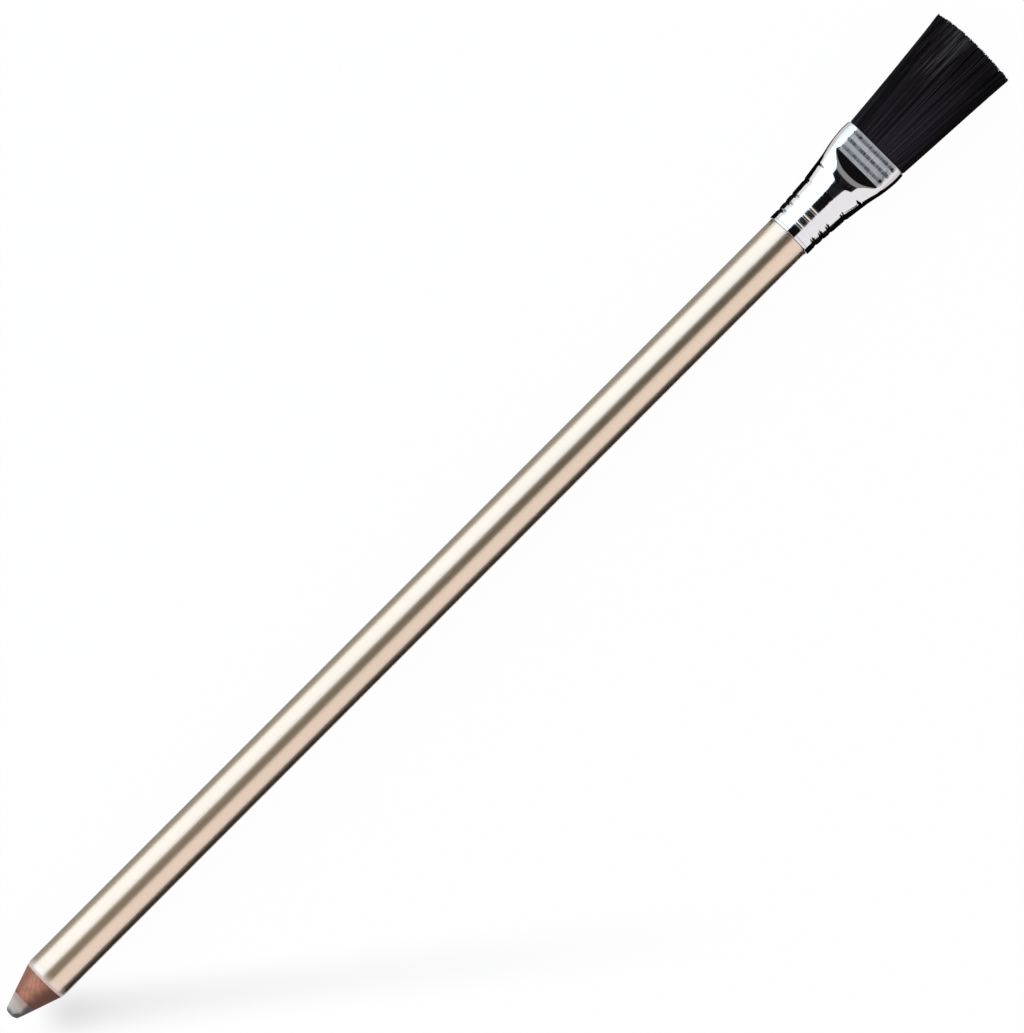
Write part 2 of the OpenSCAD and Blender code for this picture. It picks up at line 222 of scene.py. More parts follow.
class Value:
    """A node's output. Sums written with it as Python expressions add the Math nodes that they need."""

    def __init__(self, finish, node, output=0):
        self.finish = finish
        self.node = node
        self.output = output

    def of(self, output):
        """Another output of the same node."""
        return Value(self.finish, self.node, output)

    __add__, __radd__ = math_operator("ADD"), math_operator("ADD", True)
    __sub__, __rsub__ = math_operator("SUBTRACT"), math_operator("SUBTRACT", True)
    __mul__, __rmul__ = math_operator("MULTIPLY"), math_operator("MULTIPLY", True)
    __truediv__, __rtruediv__ = math_operator("DIVIDE"), math_operator("DIVIDE", True)
    __pow__ = math_operator("POWER")

    def __neg__(self):
        return self.finish.math_node("MULTIPLY", self, -1)

    def __abs__(self):
        return self.finish.math_node("ABSOLUTE", self)


class Finish:
    """A material in the making. Its places are in millimetres, from the tip and from the axis."""

    def __init__(self, name, uniform):
        self.material = bpy.data.materials.new(name)
        self.material.use_nodes = True
        self.tree = self.material.node_tree
        self.tree.nodes.clear()
        self.shader = self.add("ShaderNodeBsdfPrincipled", inputs=uniform)
        self.out = self.add("ShaderNodeOutputMaterial")
        self.surface(self.shader)
        spot = self.add("ShaderNodeTexCoord", output="Object")
        self.place = self.add(
            "ShaderNodeMapping",
            inputs={"Vector": spot, "Scale": (1 / MM,) * 3, "Location": (-TIP_X, 0, -AXIS_Z)},
        )
        self.along, self.across, self.up = self.parts(self.place)

    def add(self, kind, settings=None, inputs=None, output=0):
        """Adds a node. Its settings go first, then the values or links of its sockets."""
        node = self.tree.nodes.new(kind)
        for name, value in (settings or {}).items():
            setattr(node, name, value)
        for key, value in (inputs or {}).items():
            if isinstance(value, Value):
                self.link(value, node, key)
            else:
                node.inputs[key].default_value = value
        return Value(self, node, output)

    def link(self, value, node, key):
        """Links a value to a node's socket."""
        self.tree.links.new(value.node.outputs[value.output], node.inputs[key])

    def surface(self, shader):
        """Takes a shader as the material's own."""
        self.link(shader, self.out.node, "Surface")

    def varies(self, **inputs):
        """Links what changes over the surface to the shader."""
        for name, value in inputs.items():
            self.link(value, self.shader.node, name.replace("_", " ").title())

    def math_node(self, operation, *terms):
        """A Math node on values and numbers."""
        return self.add("ShaderNodeMath", {"operation": operation}, dict(enumerate(terms)))

    def parts(self, vector):
        """The X, Y and Z of a vector."""
        split = self.add("ShaderNodeSeparateXYZ", inputs={"Vector": vector})
        return split.of("X"), split.of("Y"), split.of("Z")

    def radius(self):
        """Distance from the pencil's axis."""
        return (self.across**2 + self.up**2) ** 0.5

    def stretched(self, scale, turn=(0, 0, 0)):
        """The piece's place with its own scale on each axis."""
        return self.add("ShaderNodeMapping", inputs={"Vector": self.place, "Scale": scale, "Rotation": turn})

    def cloud(self, scale, detail=2.0, rough=0.5, vector=None):
        """Smooth noise from 0 to 1."""
        return self.add(
            "ShaderNodeTexNoise",
            inputs={"Vector": vector or self.place, "Scale": scale, "Detail": detail, "Roughness": rough},
        )

    def grain(self, scales, detail=2.0, rough=0.5):
        """Smooth noise with its own scale on each axis."""
        return self.cloud(1, detail, rough, self.stretched(scales))

    def flecks(self, scale, output="Color"):
        """Cells, each with a colour of its own."""
        return self.add("ShaderNodeTexVoronoi", inputs={"Vector": self.place, "Scale": scale}, output=output)

    def step(self, value, low, high):
        """0 below low, 1 above high, with a smooth rise between them."""
        return self.add(
            "ShaderNodeMapRange",
            {"interpolation_type": "SMOOTHSTEP"},
            {"Value": value, "From Min": low, "From Max": high},
        )

    def within(self, value, start, full, fade, end):
        """1 from full to fade, 0 before start and after end."""
        return self.step(value, start, full) * (1 - self.step(value, fade, end))

    def blend(self, factor, a, b):
        """From colour a to colour b. A Mix node keeps its colours in sockets 6 and 7 and in output 2."""
        return self.add("ShaderNodeMix", {"data_type": "RGBA"}, {0: factor, 6: rgba(a), 7: rgba(b)}, output=2)

    def tinted(self, base, factor):
        """A colour made darker or lighter by a number that varies."""
        return self.add(
            "ShaderNodeVectorMath",
            {"operation": "SCALE"},
            {0: base if isinstance(base, Value) else tuple(base), "Scale": factor},
        )

    def bump(self, height, depth):
        """Relief of a depth in millimetres."""
        return self.add("ShaderNodeBump", inputs={"Height": height, "Distance": depth * MM})


def rgba(value):
    """A colour as a socket takes it: a value as it is, a plain colour with its alpha."""
    return value if isinstance(value, Value) else (*value[:3], 1)


def lacquer_finish(pencil):
    """Pearly champagne lacquer, with mica, orange peel, hairline scratches and a pale cut edge."""
    finish = Finish("champagne_lacquer", {"Coat Roughness": 0.12, "Coat IOR": 2.08})
    uneven = finish.cloud(2.2, detail=3)
    cut = 1 - finish.step(finish.radius() + uneven * 0.05, BARREL_R - 0.035, BARREL_R + 0.01)
    mica = finish.add("ShaderNodeSeparateColor", inputs={"Color": finish.flecks(13)}).of("Red")
    drawn = finish.grain((0.12, 5, 5), detail=4, rough=0.6)
    drift = finish.cloud(0.09, detail=1)
    rubbed = finish.cloud(0.55, detail=5, rough=0.65)
    body = finish.tinted(pencil.lacquer, 0.93 + 0.05 * mica + 0.06 * drift + 0.04 * drawn)
    thin_until = (8.2, 9.8)
    thin = (1 - finish.step(finish.along + rubbed * 1.2, *thin_until)) * (1 - cut)
    skin = finish.blend(thin * 0.8, body, pencil.primer)
    pale, brown = (0.84, 0.68, 0.60), (0.62, 0.38, 0.28)
    orange_peel = finish.cloud(1.5, detail=1)
    scratches = finish.grain((0.3, 9, 9))
    finish.varies(
        base_color=finish.blend(cut, skin, finish.blend(uneven, pale, brown)),
        metallic=0.99 - 0.9 * cut - 0.45 * thin,
        roughness=0.257 + 0.05 * rubbed + 0.04 * mica + 0.04 * drawn + 0.2 * cut + 0.1 * thin,
        coat_weight=1.0 - 0.7 * cut - 0.06 * rubbed,
        normal=finish.bump(orange_peel * 0.5 + scratches * 0.2 + cut * uneven, 0.006),
    )
    return finish.material


def cedar_finish(pencil):
    """Cedar with its growth rings, pores and fibres, the rings that the sharpener's blade leaves, and painted
    shade at its sides.
    """
    finish = Finish("cedar", {"Specular IOR Level": 0.3})
    _, ring_y, ring_z = finish.parts(finish.stretched((0.05, 1, 1), (0.5, 0, 0)))
    from_pith = ((ring_y - 9) ** 2 + (ring_z + 6) ** 2) ** 0.5
    bend = finish.cloud(0.5, detail=3)
    late = finish.step(finish.math_node("FRACT", from_pith * 2.4 + bend * 0.9), 0.35, 0.98)
    fibre = finish.grain((0.5, 11, 11), detail=5, rough=0.7)
    fleck = finish.step(finish.grain((1.1, 7, 7), detail=3, rough=0.6), 0.56, 0.74)
    pores = finish.step(finish.grain((1.4, 14, 14)), 0.62, 0.72)
    blade = finish.grain((9, 0.5, 0.5), detail=3, rough=0.6)
    glue = 1 - finish.step(abs(finish.up), 0.01, 0.035)
    blotch = finish.cloud(0.45, detail=3, rough=0.6)
    shade = late * 0.2 + fibre * 0.5 + pores * 0.2 + blade * 0.1 - 0.12 - fleck * 0.25
    dark = finish.step(shade + (blotch - 0.5) * 0.9, 0.05, 0.7)
    wood = finish.blend(dark, pencil.cedar_light, pencil.cedar_dark)
    lean = finish.across / finish.radius() + (bend - 0.5) * 0.5
    by_eraser = 1 - finish.step(finish.along, 3.0, 3.9)
    # Painted shade: the cedar turns darker on the -Y side and along the +Y edge; it is also darker next to
    # the eraser
    painted_side_shade_and_eraser = finish.step(-lean, -0.2, 0.65) + 0.6 * finish.step(lean, 0.38, 0.85) + 0.3 * by_eraser
    grime = finish.step(finish.cloud(0.9, detail=4) + blade * 0.2, 0.6, 0.9)
    soiled = (0.11, 0.035, 0.022)
    finish.varies(
        base_color=finish.blend(
            glue * 0.5 + grime * 0.25, finish.blend(painted_side_shade_and_eraser, wood, pencil.shaded_cedar), soiled
        ),
        roughness=0.5 + 0.2 * fibre + 0.1 * late - 0.08 * blade,
        normal=finish.bump(fibre * 0.5 + blade * 0.6 - pores * 0.8, 0.018),
    )
    return finish.material


def rubber_finish(pencil):
    """Gritty grey rubber, rosy where the cedar's dust clings to it, darker at the worn end and on its -Y
    side: graphite smudge and painted shade.
    """
    finish = Finish("eraser_rubber", {"Specular IOR Level": 0.3})
    grit = finish.flecks(7, output="Distance")
    fine = finish.cloud(9, detail=3)
    patch = finish.cloud(1.1, detail=4, rough=0.6)
    along = finish.along + patch * 0.8
    # Graphite smudge and painted shade: darker towards the worn end
    tip = 1 - finish.step(along, 0.5, 1.7)
    # Painted shade: darker on the -Y side of the rod
    painted_underside_shade = 1 - finish.step(finish.across + patch * 0.8, -0.9, 0.3)
    smudge_and_shade = finish.step(tip * 0.74 + painted_underside_shade * 0.82 + tip * painted_underside_shade * 0.5 + patch * 0.4, 0.34, 1.1)
    rosy = (0.47, 0.315, 0.25)
    clean = finish.blend(finish.step(along, 2.0, 3.2) * 0.85, pencil.rubber, rosy)
    finish.varies(
        base_color=finish.blend(smudge_and_shade * 0.94, finish.tinted(clean, 0.86 + 0.28 * fine), pencil.smudge_and_shade),
        roughness=0.72 + 0.2 * fine - 0.12 * smudge_and_shade,
        normal=finish.bump(grit * 0.6 + fine * 0.5 + patch, 0.035),
    )
    return finish.material


def metal_finish(ferrule):
    """Polished plate with turning lines, duller crimps, a streaked band with dirty grooves, a satin lip and
    painted edge shade.
    """
    finish = Finish("polished_plate", {"Metallic": 1.0})
    from_rim = finish.along - FERRULE_AT
    lip_at = LIP_AT - FERRULE_AT
    band_at = ferrule.sleeve_len + ferrule.taper_len + ferrule.facet_len
    turning = finish.grain((16, 0.35, 0.35), detail=3, rough=0.6)
    spots = finish.cloud(2.4, detail=4, rough=0.6)
    tarnish = finish.step(spots + turning * 0.3, 0.74, 1.0)
    crimped = finish.within(from_rim, 1.2, 1.7, 5.2, 5.7)
    # The pressed faces of the band, whose wear lies a little towards -Y
    faces = 1 - finish.step(abs(finish.across + 0.25), ferrule.flat_w / 2 - 0.2, ferrule.flat_w / 2 + 0.2)
    lip = finish.step(from_rim, lip_at - 0.32, lip_at - 0.22)
    pressed = finish.step(from_rim, band_at - 0.1, band_at + 0.1) * faces * (1 - lip)
    first = lip_at - ferrule.groove_back - 3 * ferrule.groove_pitch
    pitches = (from_rim - first) / ferrule.groove_pitch + 0.5
    groove = 1 - finish.step(abs(finish.math_node("FRACT", pitches) - 0.5), 0.1, 0.32)
    streaks = finish.step(finish.grain((0.3, 4, 4), detail=4, rough=0.65), 0.3, 0.7)
    smears = finish.step(finish.grain((0.5, 1.1, 1.1), detail=3), 0.45, 0.7)
    specks = finish.step(finish.cloud(1.6, detail=3), 0.5, 0.6) * finish.step(-finish.across, 3.0, 4.2)
    worn = finish.within(from_rim, 17.0, 17.3, 17.7, 18.1)
    edge = finish.step(finish.across, 2.6, 4.4)
    dirt = groove * (0.3 + 0.42 * streaks) + 0.06 + 0.12 * streaks
    dirt = dirt + (0.14 + 0.3 * edge) * smears + 0.45 * specks
    # Painted shade along the flare's outer edges, and a dark line near the rim
    rim_line = 1 - finish.step(abs(from_rim - 0.5), 0.04, 0.13)
    edge_shade_and_rim_line = 0.25 * finish.step(abs(finish.across), 4.6, 5.3) + 0.35 * rim_line
    polish = 0.05 + 0.04 * turning + 0.03 * spots + 0.1 * tarnish + 0.06 * crimped
    finish.varies(
        base_color=finish.tinted(ferrule.metal, 1 - 0.18 * tarnish - pressed * dirt - edge_shade_and_rim_line),
        roughness=polish + pressed * (0.36 + 0.14 * streaks + 0.14 * worn) + lip * 0.4,
        normal=finish.bump(finish.cloud(0.35) * 0.5 + turning * 0.02 + pressed * streaks * 0.35, 0.03),
    )
    return finish.material


def resin_finish():
    """Amber casting resin with bubbles."""
    finish = Finish("amber_resin", {"Specular IOR Level": 0.5})
    murk = finish.cloud(0.8, detail=4)
    bubbles = finish.step(finish.flecks(2.5, output="Distance"), 0.12, 0.2)
    amber, honey = (0.42, 0.22, 0.06), (0.62, 0.40, 0.16)
    finish.varies(
        base_color=finish.blend(murk, amber, honey),
        roughness=0.25 + 0.3 * murk,
        normal=finish.bump(bubbles + murk * 0.4, 0.05),
    )
    return finish.material


def hair_finish(brush):
    """Near-black hair, each strand with a shade of its own, dusty at the ends, with painted glints and
    painted shade.
    """
    finish = Finish("black_hair", {"Specular IOR Level": 0.13})
    strand = finish.add("ShaderNodeAttribute", {"attribute_name": "strand"}, output="Fac")
    root = finish.add("ShaderNodeAttribute", {"attribute_name": "from_root"}, output="Fac")
    lock = finish.grain((0.05, 1.6, 1.6), detail=3)
    dust = finish.cloud(3, detail=3, rough=0.7)
    half = finish.step(finish.across, -1.0, 3.0)
    edge = finish.step(abs(finish.across - 0.3), 4.4, 5.9)
    # Painted shade: the tips on the -Y side are darker
    painted_tip_shade = finish.step(root, 0.5, 0.9) * (1 - half)
    brown = finish.step(strand * 0.7 + lock * 0.5, 0.2, 1.0) * (1 - 0.7 * painted_tip_shade) * (1 - edge)
    # Painted highlight: light streaks along the hair, strongest towards the tips on the +Y side
    streak = finish.step(finish.grain((0.07, 1.9, 0.5)), 0.5, 0.6)
    painted_light = finish.step(root + lock * 0.2, 0.55, 0.85) * (1 - finish.step(root, 0.95, 1.0)) * (0.2 + 0.8 * half)
    painted_glint = 2.0 * streak * painted_light * (0.35 + 0.65 * strand) * (1 - 0.8 * edge)
    dusty = finish.step(root + dust * 0.25, 0.9, 1.25)
    hair = finish.blend(brown, brush.hair_dark, brush.hair_brown)
    finish.varies(
        base_color=finish.blend(painted_glint + 0.1 * dusty, hair, brush.hair_dust_and_glint),
        roughness=0.42 + 0.2 * strand + 0.12 * dust,
        normal=finish.bump(dust, 0.01),
    )
    return finish.material


def keep_piece(bm, name, material, nodes):
    """Turns a closed form in pencil millimetres into a finished piece in the frame."""
    bmesh.ops.remove_doubles(bm, verts=bm.verts, dist=MERGE)
    bmesh.ops.recalc_face_normals(bm, faces=bm.faces)
    bm.transform(Matrix.Translation((TIP_X * MM, 0, AXIS_Z * MM)) @ Matrix.Scale(MM, 4))
    for face in bm.faces:
        face.smooth = True
    mesh = bpy.data.meshes.new(name)
    bm.to_mesh(mesh)
    bm.free()
    return place_piece(mesh, name, material, nodes)


def in_scene(name, data):
    """A new object in the scene."""
    thing = bpy.data.objects.new(name, data)
    bpy.context.scene.collection.objects.link(thing)
    return thing


def place_piece(mesh, name, material, nodes):
    """Puts a finished mesh on the pencil's body, for the CAD nodes that it replaces."""
    piece = in_scene(name, mesh)
    mesh.materials.clear()
    mesh.materials.append(material)
    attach(piece, "root")
    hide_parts(*nodes)
    return piece


def outline(bm, points, closed):
    """Edges through points given as distance from the tip and radius."""
    verts = [bm.verts.new((s, 0, r)) for s, r in points]
    pairs = list(zip(verts, verts[1:])) + ([(verts[-1], verts[0])] if closed else [])
    return verts, [bm.edges.new(pair) for pair in pairs]


def revolve(bm, geometry, sides, angle=math.tau):
    """Spins an outline round the pencil's axis."""
    bmesh.ops.spin(
        bm,
        geom=geometry,
        cent=(0, 0, 0),
        axis=(1, 0, 0),
        dvec=(0, 0, 0),
        angle=angle,
        steps=sides,
        use_merge=angle == math.tau,
    )


def cone_r(pencil, s):
    """Radius of the sharpened cone at a distance from the tip."""
    return pencil.tip_r + s * math.tan(pencil.cone_angle)


def cone_at(pencil, r):
    """Distance from the tip at which the sharpened cone has a radius."""
    return (r - pencil.tip_r) / math.tan(pencil.cone_angle)


def between(a, b, steps):
    """Even steps from a to b."""
    return [a + (b - a) * i / steps for i in range(steps + 1)]


def soft_step(value, low, high):
    """0 below low, 1 above high, with a smooth rise between them."""
    t = min(1, max(0, (value - low) / (high - low)))
    return t * t * (3 - 2 * t)


def soft_least(a, b, blend):
    """The smaller of two heights, with a rounded change from one to the other."""
    near = max(0, blend - abs(a - b)) / blend
    return min(a, b) - near**2 * blend / 4


def sharpen_flats(piece, angle):
    """Keeps edges that are sharper than the angle."""
    piece.data.set_sharp_from_angle(angle=math.radians(angle))


class PENCIL_OT_lacquer(bpy.types.Operator):
    """Build the lacquer skin of the barrel, from the sharpener's cut to the ferrule"""

    bl_idname = "eraser_pencil.lacquer"
    bl_label = "Lacquer"

    def execute(self, context):
        pencil = context.scene.eraser_pencil
        turn = math.tan(pencil.cone_angle / 2)
        cut = (BARREL_R - WOOD_R) / math.sin(pencil.cone_angle)
        # At least a tenth of the cut stays straight
        edge_r = min(pencil.edge_r, 0.9 * cut / turn)
        ends = cone_at(pencil, BARREL_R) + edge_r * turn
        end_round = 0.04
        bm = bmesh.new()
        verts, edges = outline(
            bm,
            [(cone_at(pencil, WOOD_R), WOOD_R)]
            + [
                (ends - edge_r * math.sin(a), BARREL_R - edge_r * (1 - math.cos(a)))
                for a in between(pencil.cone_angle, 0, 10)
            ]
            + [(s, BARREL_R) for s in between(ends, FERRULE_AT - end_round, 40)[1:]]
            + [(FERRULE_AT, BARREL_R - end_round), (FERRULE_AT, WOOD_R)],
            closed=True,
        )
        revolve(bm, verts + edges, pencil.sides)
        piece = keep_piece(bm, "barrel_lacquer", lacquer_finish(pencil), ["lacquer_coat"])
        sharpen_flats(piece, 30)
        return {"FINISHED"}


class PENCIL_OT_casing(bpy.types.Operator):
    """Build the two glued cedar slats, cut to a cone by the sharpener"""

    bl_idname = "eraser_pencil.casing"
    bl_label = "Cedar Casing"

    def execute(self, context):
        pencil = context.scene.eraser_pencil
        groove_r = CORE_R + CORE_GAP
        cedar = cedar_finish(pencil)
        cone = [(cone_at(pencil, r), r) for r in between(groove_r, WOOD_R, 12)]
        for name, side in (("casing_upper", 1), ("casing_lower", -1)):
            bm = bmesh.new()
            verts, edges = outline(bm, cone + [(PENCIL_LEN, WOOD_R), (PENCIL_LEN, groove_r)], closed=True)
            face = bm.faces.new(verts)
            to_seam = Matrix.Rotation(-side * math.pi / 2, 3, "X")
            bmesh.ops.rotate(bm, verts=verts, cent=(0, 0, 0), matrix=to_seam)
            revolve(bm, verts + edges + [face], pencil.sides // 2, math.pi)
            piece = keep_piece(bm, "cedar_" + name.split("_")[1], cedar, [name])
            sharpen_flats(piece, 40)
        return {"FINISHED"}


class PENCIL_OT_eraser(bpy.types.Operator):
    """Build the rubber rod with its worn tip"""

    bl_idname = "eraser_pencil.eraser"
    bl_label = "Eraser"

    def execute(self, context):
        pencil = context.scene.eraser_pencil
        bm = bmesh.new()
        # The worn end is a squarish dome. At a power of 2 it would be an oval
        power = 2 / 2.7
        tip = []
        for a in between(math.pi / 2, 0, 20):
            s = pencil.worn_len * (1 - math.sin(a) ** power)
            tip.append((s, cone_r(pencil, s) * max(0, math.cos(a)) ** power))
        full = cone_at(pencil, CORE_R)
        rod = [(s, cone_r(pencil, s)) for s in between(pencil.worn_len, full, 24)[1:]]
        verts, edges = outline(bm, tip + rod + [(PENCIL_LEN, CORE_R), (PENCIL_LEN, 0)], closed=False)
        revolve(bm, verts + edges, pencil.sides)
        bmesh.ops.remove_doubles(bm, verts=bm.verts, dist=MERGE)
        for vert in bm.verts:
            self.wear(vert, pencil.wear, max(0, 1 - vert.co.x / full))
        keep_piece(bm, "eraser_rod", rubber_finish(pencil), ["eraser_core"])
        return {"FINISHED"}

    def wear(self, vert, depth, near):
        """Rubs hollows into the rubber and shortens its -Y side, most of all where near is 1."""
        place = vert.co.copy()
        rub = noise.noise(place * 1.3 + Vector((4, 1, 7))) + 0.5 * noise.noise(place * 3.1)
        vert.co -= place.normalized() * Vector((0, 1, 1)) * max(0, rub) * depth * near**0.7
        vert.co.x += max(0, -place.y * 0.12 + 0.1 * rub) * near**4.2


class FerruleForm:
    """The shape of the metal tube: round at the rim, pressed flat at the mouth."""

    # Around the press mark the oval is squarer, between these distances from the neck, in millimetres
    SQUARE_FROM = (2.9, 3.5)
    SQUARE_UNTIL = (6.0, 7.8)

    def __init__(self, f):
        self.f = f
        self.neck_r = f.rim_r + f.swell
        self.low_r = self.neck_r - f.neck_depth
        self.shoulder = f.neck_w / 2
        self.band = f.taper_len + f.facet_len
        self.flare = LIP_AT - FERRULE_AT - f.sleeve_len
        self.band_h = f.mouth_t / 2 / math.sqrt(1 - (f.flat_w / f.mouth_w) ** 2)
        self.shoulder_h = self.neck_r - f.shoulder_rise
        share_pressed = (f.taper_len - self.shoulder) / (self.band - self.shoulder)
        self.press_h = self.shoulder_h + (self.band_h - self.shoulder_h) * share_pressed
        self.widths = [
            (self.shoulder, self.neck_r + f.shoulder_rise),
            (f.taper_len, f.press_w / 2),
            (self.band, f.band_w / 2),
            (self.flare - f.widest_back, f.mouth_w / 2),
            (self.flare, f.lip_w / 2),
        ]

    @staticmethod
    def dip(x, centre, width):
        """A rounded dip: 1 in its middle, 0 outside it."""
        return (1 + math.cos(math.tau * (x - centre) / width)) / 2 if abs(x - centre) < width / 2 else 0

    def sleeve_r(self, x):
        """Outer radius of the round sleeve at x from the rim."""
        f = self.f
        swell = f.swell * max(0, x - f.rim_len) / (f.sleeve_len - f.rim_len)
        crimp = max(self.dip(x, f.crimp_from + k * f.crimp_pitch, f.crimp_w) for k in range(3))
        return f.rim_r + swell - f.crimp_depth * crimp - f.neck_depth * self.dip(x, f.sleeve_len, f.neck_w)

    def half_w(self, n):
        """Half the width of the flare at n from the neck, on a smooth curve through its stations."""
        if n < self.shoulder:
            risen = 1 - self.dip(n, 0, self.f.neck_w)
            return self.low_r + (self.f.neck_depth + self.f.shoulder_rise) * risen
        t = self.widths
        i = max(k for k in range(len(t) - 1) if n >= t[k][0] or k == 0)
        h = t[i + 1][0] - t[i][0]
        u = (n - t[i][0]) / h
        slopes = []
        for k in (i, i + 1):
            a, b = max(k - 1, 0), min(k + 1, len(t) - 1)
            slopes.append((t[b][1] - t[a][1]) / (t[b][0] - t[a][0]))
        return (
            t[i][1] * (1 + 2 * u) * (1 - u) ** 2
            + slopes[0] * h * u * (1 - u) ** 2
            + t[i + 1][1] * u**2 * (3 - 2 * u)
            - slopes[1] * h * u**2 * (1 - u)
        )

    def oval_h(self, n):
        """Half the height that the oval would have with no press mark."""
        if n < self.shoulder:
            return self.low_r + (self.shoulder_h - self.low_r) * n / self.shoulder
        risen = min(1, (n - self.shoulder) / (self.band - self.shoulder))
        return self.shoulder_h + (self.band_h - self.shoulder_h) * risen

    def plane_h(self, n):
        """Height of the pressed plane, which cuts into the oval from the press mark on."""
        slope = (self.f.mouth_t / 2 - self.press_h) / self.f.facet_len
        return max(self.f.mouth_t / 2, self.press_h + slope * (n - self.f.taper_len))

    def sunk(self, n):
        """Depth of the fine grooves across the pressed faces."""
        f = self.f
        places = [self.flare - f.groove_back - k * f.groove_pitch for k in range(3)]
        return f.groove_depth * max(self.dip(n, place, f.groove_w) for place in places)

    def point(self, n, i, inset=0.0, sunk=0.0):
        """Point i of the flare's section at n from the neck, counted round from the top."""
        quarter = self.f.quarter
        flat = quarter // 3
        k = i % (2 * quarter)
        k = k if k <= quarter else 2 * quarter - k
        a, b, c = self.half_w(n) - inset, self.oval_h(n) - inset, self.plane_h(n) - inset - sunk
        # A third of the points lie on the flat face, which keeps a least width where it fades out
        least = math.radians(18 - 14 * min(1, n / self.f.taper_len))
        edge = max(math.acos(min(1, c / b)), least)
        if k < flat:
            y = a * math.sin(edge) * (1 - (1 - k / flat) ** 1.6)
        else:
            y = a * math.sin(edge + (math.pi / 2 - edge) * ((k - flat) / (quarter - flat)) ** 1.3)
        squarer = soft_step(n, *self.SQUARE_FROM) * (1 - soft_step(n, *self.SQUARE_UNTIL))
        power = 2 + self.f.flatten * squarer
        z = soft_least(c, b * max(0, 1 - (y / a) ** power) ** (1 / power), self.f.crease)
        i = i % (4 * quarter)
        return (y if i < 2 * quarter else -y), (z if i <= quarter or i >= 3 * quarter else -z)

    def stations(self):
        """The wall's rings, up the outside and down the inside: a distance from the rim, and points."""
        f, full, ring = self.f, self.flare, 4 * self.f.quarter
        turns = [math.tau * i / ring for i in range(ring)]
        rim_round, inner_round = f.wall / 3, 0.1
        # Near the neck the inside turns from the flare's oval to the round bore
        join = 0.3

        def round_ring(x, r):
            return x, [(r * math.sin(a), r * math.cos(a)) for a in turns]

        def flare_ring(n, inset=0.0, sunk=0.0):
            return f.sleeve_len + n, [self.point(n, i, inset, sunk) for i in range(ring)]

        rim = [
            round_ring(rim_round * (1 - math.cos(a)), f.rim_r - rim_round * (1 - math.sin(a)))
            for a in between(0, 1.2, 4)
        ]
        sleeve = [round_ring(x, self.sleeve_r(x)) for x in between(rim_round, f.sleeve_len, 90)[:-1]]
        places = set(between(0, self.shoulder, 6) + between(self.shoulder, f.taper_len, 30))
        places |= set(between(f.taper_len, self.band, 30) + between(self.band, full - f.lip_round, 50))
        outside = [flare_ring(n, sunk=self.sunk(n)) for n in sorted(places)[1:]]
        lip = [
            flare_ring(full - f.lip_round * (1 - math.sin(a)), f.lip_round * (1 - math.cos(a)))
            for a in between(0.1, math.pi / 2, 7)
        ]
        inner_lip = [
            flare_ring(full - inner_round * (1 - math.sin(a)), f.wall - inner_round * (1 - math.cos(a)))
            for a in between(math.pi / 2, 0, 4)
        ]
        inside = [flare_ring(n, f.wall) for n in between(full - 2 * inner_round, join, 30)]
        bore = [
            round_ring(x, max(self.sleeve_r(x) - f.wall, WOOD_R + BORE_GAP))
            for x in between(f.sleeve_len - join, 0, 24)
        ]
        return rim + sleeve + outside + lip + inner_lip + inside + bore


class PENCIL_OT_ferrule(bpy.types.Operator):
    """Draw the metal tube ring by ring, from its rim to the pressed mouth and back along its inside"""

    bl_idname = "eraser_pencil.ferrule"
    bl_label = "Ferrule"

    def execute(self, context):
        settings = context.scene.eraser_ferrule
        rings = FerruleForm(settings).stations()
        bm = bmesh.new()
        layer = bm.verts.layers.int.new("turn")
        bmesh.ops.create_circle(bm, segments=4 * settings.quarter, radius=1)
        verts, edges = list(bm.verts), list(bm.edges)
        first = edges
        for i, vert in enumerate(verts):
            vert[layer] = i
        for ring, (at, points) in enumerate(rings):
            if ring:
                made = bmesh.ops.extrude_edge_only(bm, edges=edges)["geom"]
                verts = [item for item in made if isinstance(item, bmesh.types.BMVert)]
                fresh = set(verts)
                edges = [
                    item
                    for item in made
                    if isinstance(item, bmesh.types.BMEdge) and fresh.issuperset(item.verts)
                ]
            for vert in verts:
                vert.co = (FERRULE_AT + at, *points[vert[layer]])
        bmesh.ops.bridge_loops(bm, edges=first + edges)
        keep_piece(bm, "ferrule_shell", metal_finish(settings), ["ferrule"])
        return {"FINISHED"}


class PENCIL_OT_resin(bpy.types.Operator):
    """Give the hidden resin plug its finish"""

    bl_idname = "eraser_pencil.resin"
    bl_label = "Resin Plug"

    def execute(self, context):
        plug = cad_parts["resin_plug"]
        plug.data.materials.clear()
        plug.data.materials.append(resin_finish())
        return {"FINISHED"}


